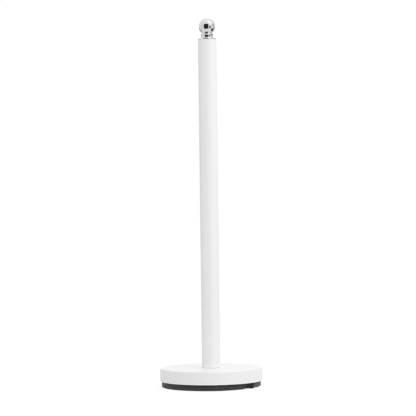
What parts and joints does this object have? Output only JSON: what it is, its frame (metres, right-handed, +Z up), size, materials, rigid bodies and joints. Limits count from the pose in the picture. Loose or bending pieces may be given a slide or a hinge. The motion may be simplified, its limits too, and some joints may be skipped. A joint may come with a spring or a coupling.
{
  "type": "spare roll holder stand",
  "caption": "Slim white post on a weighted round base with a rubber edge strip and a screw-on ball finial; paper rolls drop over the post.",
  "frame": {"origin": "on the floor, under the middle of the round base", "axes": "+Z up along the post, -Y towards the front, +X to the right seen from the front"},
  "size_m": [0.138, 0.138, 0.4975],
  "materials": {
    "white_paint": "satin white powder coat on steel",
    "chrome": "polished chrome plate",
    "strip_rubber": "matt black extruded rubber with fine lengthwise ribs",
    "seal_rubber": "smooth black rubber",
    "ballast_iron": "as-cast grey iron",
    "foam": "closed-cell foam sheet",
    "plated_sheet": "zinc-plated sheet",
    "fastener_steel": "zinc-plated steel",
    "insert_alloy": "turned aluminium"
  },
  "bodies": {
    "stand": {"base_cover": "white_paint", "ballast": "ballast_iron", "ballast_pad": "foam", "bottom_plate": "plated_sheet", "plate_screws": "fastener_steel", "edge_strip": "strip_rubber", "clamp_bolt": "fastener_steel", "lock_washer": "fastener_steel", "flat_washer": "fastener_steel", "post_tube": "white_paint", "foot_insert": "insert_alloy", "top_insert": "insert_alloy"},
    "finial_seal": {"seal_ring": "seal_rubber"},
    "finial": {"finial_cap": "chrome", "finial_collar": "chrome", "finial_ball": "chrome", "finial_stud": "fastener_steel"}
  },
  "joints": [
    {"name": "finial_rise", "type": "slide", "parent": "stand", "child": "finial_seal", "axis": [0, 0, 1], "range_m": [0, 0.008]},
    {"name": "finial_turn", "type": "hinge", "parent": "finial_seal", "child": "finial", "pos_m": [0, 0, 0.4681], "axis": [0, 0, 1], "range_deg": [0, 2880]}
  ],
  "couplings": [
    {"joint": "finial_turn", "follows": "finial_rise", "rad_per_m": 6283.2}
  ]
}
